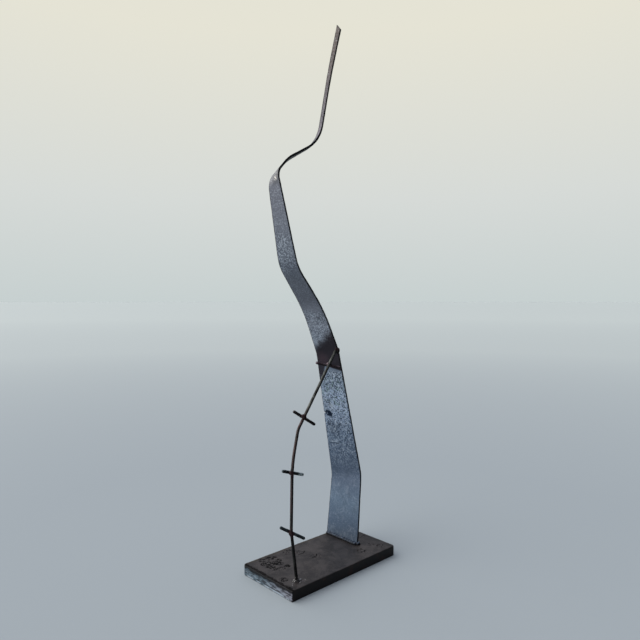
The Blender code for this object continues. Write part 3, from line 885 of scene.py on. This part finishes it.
@dataclass(frozen=True)
class BarFinish:
    """Dark drawn bar, lighter where it is rubbed, with reddish brown weld metal, a slightly rusty skin and
    near-black painted shade on the side away from the light.
    """

    skin: Colour
    pale: Colour
    # Near black: the blackened lower rod and the painted shade on the side away from the light.
    blackening: Colour = tone(11, 10, 12)
    rust: Colour = tone(72, 46, 50)
    weld: Colour = tone(66, 42, 46)
    weld_dark: Colour = tone(32, 24, 27)
    fresh: Colour = tone(46, 44, 46)
    glint: Colour = tone(186, 184, 182)
    scuff: Colour = tone(176, 190, 194)
    rust_fade: float = 25.0 * MM
    soot_fade: Span = (10.0 * MM, -20.0 * MM)
    scuff_reach: Span = (8.0 * MM, 15.0 * MM)
    bright_reach: Span = (12.0 * MM, 20.0 * MM)
    # Direction of the side that gets the painted shade.
    shade_side: Place = (0.62, 0.58, 0.53)
    relief: float = 0.25 * MM

    def material(
        self,
        name: str,
        welds: list[tuple[Vector, float]],
        rusty: tuple[float, float] = (0.0, 0.0),
        bright: Vector | None = None,
        scuffed: Vector | None = None,
    ) -> Material:
        """Builds the material.

        Args:
            name: The material's name.
            welds: Each weld's middle and reach.
            rusty: The levels between which the skin is rusty; below the lower one it is black.
            bright: The middle of the one weld that is grey with bright specks.
            scuffed: The middle of a place where the skin is rubbed pale.

        Returns:
            The material.
        """
        g = Graph(name, 0.75)
        along = g.grain(9.0 * MM, 4.0, g.stretched(Vector((1.0, 1.0, 0.35))))
        fine = g.grain(2.0 * MM, 4.0)
        colour = g.mix((along * 0.6 + fine * 0.4).step(0.40, 0.64), self.skin, self.pale)
        if rusty[1] > 0.0:
            rust = g.z.window(rusty[0], rusty[1], self.rust_fade) * along.step(0.34, 0.56)
            colour = g.mix(rust * 0.7, colour, self.rust)
            blackened = g.z.step(*(rusty[0] + shift for shift in self.soot_fade))
            colour = g.mix(blackened * 0.75, colour, self.blackening)
        # Painted shade: the side that faces away from the light is painted near black.
        ahead, aside, above = self.shade_side
        away_from_light = g.facing_x * ahead - g.facing_y * aside - g.facing_z * above
        painted_shade = away_from_light.step(-0.12, 0.35)
        colour = g.mix(painted_shade * 0.92, colour, self.blackening)
        if scuffed is not None:
            rubbed = g.near(scuffed, *self.scuff_reach) * fine.step(0.38, 0.50)
            colour = g.mix(rubbed * 0.85, colour, self.scuff)
        welded = None
        for middle, reach in welds:
            spot = g.near(middle, reach * 0.8, reach * 1.25)
            welded = spot if welded is None else welded + spot
        welded = welded.step(0.0, 1.0)
        metal = g.mix(fine.step(0.4, 0.6), self.weld_dark, self.weld)
        if bright is not None:
            near_foot = g.near(bright, *self.bright_reach)
            grey = g.mix(fine.step(0.58, 0.66), self.fresh, self.glint)
            metal = g.mix(near_foot, metal, grey)
        colour = g.mix(welded * 0.9, colour, metal)
        roughness = 0.42 + along * 0.14 + welded * 0.08 + painted_shade * 0.28
        height = along * 0.4 + fine * (0.5 + welded * 0.6)
        return g.finish(colour, roughness, height, self.relief)


@dataclass
class RoundBars:
    """The long bent rod and the four short pins that cross it."""

    rod: str = "rod"
    pins: tuple[str, ...] = ("cross_pin_1", "cross_pin_2", "cross_pin_3", "cross_pin_4")
    cell: float = 1.6 * MM
    weld_reach: float = 7.0 * MM
    unevenness: float = 0.07 * MM
    weld_lumps: float = 0.3 * MM
    rod_finish: BarFinish = BarFinish(tone(48, 49, 47), tone(112, 114, 108))
    pin_finish: BarFinish = BarFinish(tone(34, 42, 46), tone(84, 98, 102))
    upper_pin_finish: BarFinish = BarFinish(tone(46, 40, 40), tone(96, 88, 86))
    top_pin_finish: BarFinish = BarFinish(tone(84, 71, 77), tone(128, 114, 121), weld=tone(72, 60, 65))

    def foot(self) -> Vector:
        """Finds the middle of the rod's foot.

        Returns:
            The place.
        """
        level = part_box(self.rod)[0].z + MM
        points = [point for point in solid_points(self.rod) if point.z < level]
        return sum(points, Vector()) / len(points)

    @staticmethod
    def near_end(pin: str) -> Vector:
        """The end of a pin that points to the plate's near right corner."""
        return max(solid_points(pin), key=lambda point: point.x - point.y)

    def crossings(self) -> dict[str, Vector]:
        """Finds where each pin meets the rod.

        Returns:
            The middle of the closest pair of points of each pin and the rod, by the pin's name.
        """
        tree = search_tree(solid_points(self.rod))
        found = {}
        for pin in self.pins:
            close = [(tree.find(point)[2], point) for point in solid_points(pin)]
            limit = min(distance for distance, _ in close) + MM
            points = [point for distance, point in close if distance < limit]
            found[pin] = sum(points, Vector()) / len(points)
        return found

    def build(self) -> list[Object]:
        """Makes the rod and the pins.

        Returns:
            The pieces.
        """
        crossings = self.crossings()
        top = max(solid_points(self.rod), key=lambda point: point.z)
        foot = self.foot()
        self.weld_middles = [*crossings.values(), foot, top]
        welds = [(middle, self.weld_reach) for middle in crossings.values()]
        welds.append((foot, self.weld_reach * 1.2))
        welds.append((top, self.weld_reach))
        rusty = (crossings[self.pins[0]].z, crossings[self.pins[2]].z)
        material = self.rod_finish.material("dark_rod", welds, rusty, foot)
        mesh = FineMesh(self.rod, "bent_rod", Slot.ROD)
        mesh.cut((self.cell * 2.0, self.cell * 2.0, self.cell))
        pieces = [mesh.finish(self._relief, material)]
        lower = self.pin_finish
        finishes = dict(zip(self.pins, (lower, lower, self.upper_pin_finish, self.top_pin_finish)))
        for pin, crossing in crossings.items():
            scuffed = self.near_end(pin) if pin == self.pins[1] else None
            material = finishes[pin].material(f"{pin}_steel", [(crossing, self.weld_reach)], scuffed=scuffed)
            mesh = FineMesh(pin, pin.replace("cross_pin", "round_pin"), Slot.PINS)
            mesh.cut((self.cell, self.cell, self.cell))
            pieces.append(mesh.finish(self._relief, material))
        return pieces

    def _relief(self, place: Vector, facing: Vector, edge: float) -> float:
        """The outward move of a bar's surface.

        Args:
            place: The place on the surface.
            facing: The outward direction there.
            edge: The distance to the nearest sharp edge.

        Returns:
            The move in metres.
        """
        away = min((place - middle).length for middle in self.weld_middles)
        weld = 1.0 - ease(away, self.weld_reach * 0.7, self.weld_reach * 1.3)
        move = self.unevenness * rough_noise(place, 8.0 * MM)
        return move + weld * self.weld_lumps * rough_noise(place, 3.0 * MM, 8.0)


@dataclass
class WeldSpatter:
    """Small drops of weld metal that froze on the plate round the rod's foot."""

    name: str = "weld_spatter"
    count: int = 11
    nearest: float = 8.0 * MM
    farthest: float = 21.0 * MM
    smallest: float = 0.5 * MM
    largest: float = 1.3 * MM
    big_drop: Place = (7.5 * MM, -1.5 * MM, 2.1 * MM)
    flatness: float = 0.7
    unevenness: float = 0.28
    sunk: float = 0.15
    rings: int = 6
    sides: int = 16
    seed: int = 41
    colour: Colour = tone(150, 150, 152)
    scale: Colour = tone(40, 38, 40)

    def build(self, foot: Vector, plate_top: float) -> Object:
        """Makes the drops, all in one piece.

        Args:
            foot: The middle of the rod's foot.
            plate_top: The level of the plate's top.

        Returns:
            The piece.
        """
        chance = random.Random(self.seed)
        mesh = bmesh.new()
        aside_x, aside_y, radius = self.big_drop
        self._drop(mesh, Vector((foot.x + aside_x, foot.y + aside_y, plate_top)), radius)
        for _ in range(self.count):
            turn = chance.uniform(0.0, math.tau)
            away = chance.uniform(self.nearest, self.farthest)
            place = Vector((foot.x + away * math.cos(turn), foot.y + away * math.sin(turn), plate_top))
            self._drop(mesh, place, chance.uniform(self.smallest, self.largest))
        data = bpy.data.meshes.new(self.name)
        mesh.to_mesh(data)
        mesh.free()
        return add_piece(data, self._material(), 60.0)

    def _drop(self, mesh: bmesh.types.BMesh, middle: Vector, radius: float) -> None:
        """Adds one uneven drop that stands a little into the surface below it.

        Args:
            mesh: The mesh that gets the drop.
            middle: The middle of its foot.
            radius: Its radius.
        """
        height = radius * self.flatness
        rows = []
        for ring in range(self.rings):
            rise = math.radians(90.0) * ring / self.rings
            row = []
            for side in range(self.sides):
                turn = math.tau * side / self.sides
                wide = math.cos(rise)
                out = Vector((math.cos(turn) * wide, math.sin(turn) * wide, math.sin(rise)))
                swell = 1.0 + self.unevenness * rough_noise(middle + out * radius, radius * 1.3)
                place = middle + Vector((out.x * radius, out.y * radius, out.z * height)) * swell
                row.append(mesh.verts.new(place - Vector((0.0, 0.0, height * self.sunk))))
            rows.append(row)
        top = mesh.verts.new(middle + Vector((0.0, 0.0, height * 0.9)))
        for low, high in zip(rows, rows[1:]):
            for side in range(self.sides):
                after = (side + 1) % self.sides
                mesh.faces.new((low[side], low[after], high[after], high[side]))
        for side in range(self.sides):
            mesh.faces.new((rows[-1][side], rows[-1][(side + 1) % self.sides], top))
        mesh.faces.new(list(reversed(rows[0])))

    def _material(self) -> Material:
        """Builds the drops' material: bright metal with patches of dark scale.

        Returns:
            The material.
        """
        g = Graph("bright_drops", 0.9)
        fine = g.grain(1.5 * MM, 3.0)
        colour = g.mix(fine.step(0.46, 0.58), self.colour, self.scale)
        return g.finish(colour, 0.3 + fine * 0.2, fine, 0.1 * MM)


@dataclass
class Studio:
    """A pale floor, soft light from the left and a camera at the photograph's angle."""

    eye: Place = (-0.7728, -0.8158, 0.5080)
    ahead: Place = (0.6855, 0.7281, 0.0)
    focal_pixels: float = 581.2
    image_pixels: float = 640.0
    horizon_pixel: float = 301.0
    sensor: float = 36.0
    near_clip: float = 0.05
    floor_size: float = 900.0
    floor_fade: float = 20.0
    floor_near: Colour = tone(178, 187, 192)
    floor_middle: Colour = tone(206, 214, 213)
    floor_far: Colour = tone(217, 225, 222)
    sky_low: Colour = tone(199, 208, 208)
    sky_middle: Colour = tone(214, 218, 215)
    sky_high: Colour = tone(229, 227, 213)
    window: Place = (-0.68, 0.70, 0.22)
    far_wall: Place = (0.6855, 0.7281, 0.40)
    window_light: float = 2.1
    wall_light: float = 0.42
    overhead_light: float = 0.40
    room_light: float = 0.07

    def camera(self) -> None:
        """Sets the camera up level, with the small shift that the picture's framing needs."""
        data = bpy.data.cameras.new("view")
        data.sensor_width = self.sensor
        data.lens = self.sensor * self.focal_pixels / self.image_pixels
        middle = (self.image_pixels - 1.0) / 2.0
        data.shift_y = (self.horizon_pixel - middle) / self.image_pixels
        data.clip_start = self.near_clip
        data.clip_end = self.floor_size
        camera = bpy.data.objects.new("view", data)
        camera.location = self.eye
        camera.rotation_euler = Vector(self.ahead).to_track_quat("-Z", "Y").to_euler()
        bpy.context.scene.collection.objects.link(camera)
        bpy.context.scene.camera = camera

    def floor(self) -> None:
        """Lays the pale floor."""
        half = self.floor_size / 2.0
        data = bpy.data.meshes.new("floor")
        corners = [(-half, -half, 0.0), (half, -half, 0.0), (half, half, 0.0), (-half, half, 0.0)]
        data.from_pydata(corners, [], [(0, 1, 2, 3)])
        g = Graph("pale_floor", 0.0)
        g.shader.inputs["Specular IOR Level"].default_value = 0.2
        # Painted shade: the floor's colour is darker near the sculpture and paler far off.
        away = g.add("ShaderNodeVectorMath", {"operation": "LENGTH"}, {0: g.place}).outputs["Value"]
        stops = [(0.04, self.floor_near), (0.25, self.floor_middle), (0.8, self.floor_far)]
        g.feed(g.shader.inputs["Base Color"], g.ramp(Wire(g, away) * (1.0 / self.floor_fade), stops))
        g.shader.inputs["Roughness"].default_value = 0.9
        data.materials.append(g.material)
        floor = bpy.data.objects.new("floor", data)
        bpy.context.scene.collection.objects.link(floor)

    def light(self) -> None:
        """Lights the scene from all round: a wide soft window on the left, a dim room elsewhere."""
        world = bpy.data.worlds.new("room")
        world.use_nodes = True
        bpy.context.scene.world = world
        room = Nodes(world.node_tree)
        direction = Wire(room, room.add("ShaderNodeTexCoord").outputs["Generated"])
        rise = Wire(room, room.add("ShaderNodeSeparateXYZ", sockets={0: direction}).outputs["Z"])
        window = self._towards(room, direction, self.window).step(0.30, 0.97)
        wall = self._towards(room, direction, self.far_wall).step(0.0, 0.95)
        power = (
            window * self.window_light
            + wall * self.wall_light
            + rise.step(0.25, 1.0) * self.overhead_light
            + self.room_light
        )
        glow = room.mix(window, tone(238, 243, 255), tone(255, 252, 246))
        lit = room.add("ShaderNodeBackground", sockets={"Color": glow, "Strength": power})
        backdrop = room.ramp(rise, [(0.0, self.sky_low), (0.17, self.sky_middle), (0.42, self.sky_high)])
        seen = room.add("ShaderNodeBackground", sockets={"Color": backdrop, "Strength": 1.0})
        ray = Wire(room, room.add("ShaderNodeLightPath").outputs["Is Camera Ray"])
        sockets = {0: ray, 1: Wire(room, lit.outputs[0]), 2: Wire(room, seen.outputs[0])}
        mixed = room.add("ShaderNodeMixShader", sockets=sockets)
        output = world.node_tree.nodes["World Output"]
        room.feed(output.inputs["Surface"], Wire(room, mixed.outputs[0]))

    @staticmethod
    def _towards(room: Nodes, direction: Wire, aim: Place) -> Wire:
        """Works out how far a direction agrees with an aim.

        Args:
            room: The world's nodes.
            direction: The direction.
            aim: The aim.

        Returns:
            1 along the aim, 0 square to it, -1 against it.
        """
        goal = tuple(Vector(aim).normalized())
        node = room.add("ShaderNodeVectorMath", {"operation": "DOT_PRODUCT"}, {0: direction, 1: goal})
        return Wire(room, node.outputs["Value"])

    def build(self) -> None:
        """Makes the whole studio."""
        self.camera()
        self.floor()
        self.light()
        bpy.context.scene.view_settings.view_transform = "Standard"


def main() -> None:
    """Builds the studio and the sculpture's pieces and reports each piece."""
    logging.basicConfig(level=logging.INFO, format="%(name)s: %(message)s")
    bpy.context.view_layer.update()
    Studio().build()
    plate = BasePlate()
    bars = RoundBars()
    pieces = [plate.build(), Strap().build(), *bars.build()]
    pieces.append(WeldSpatter().build(bars.foot(), plate.high.z))
    for piece in pieces:
        LOG.info("%s: %d faces", piece.name, len(piece.data.polygons))


if __name__ == "__main__":
    main()
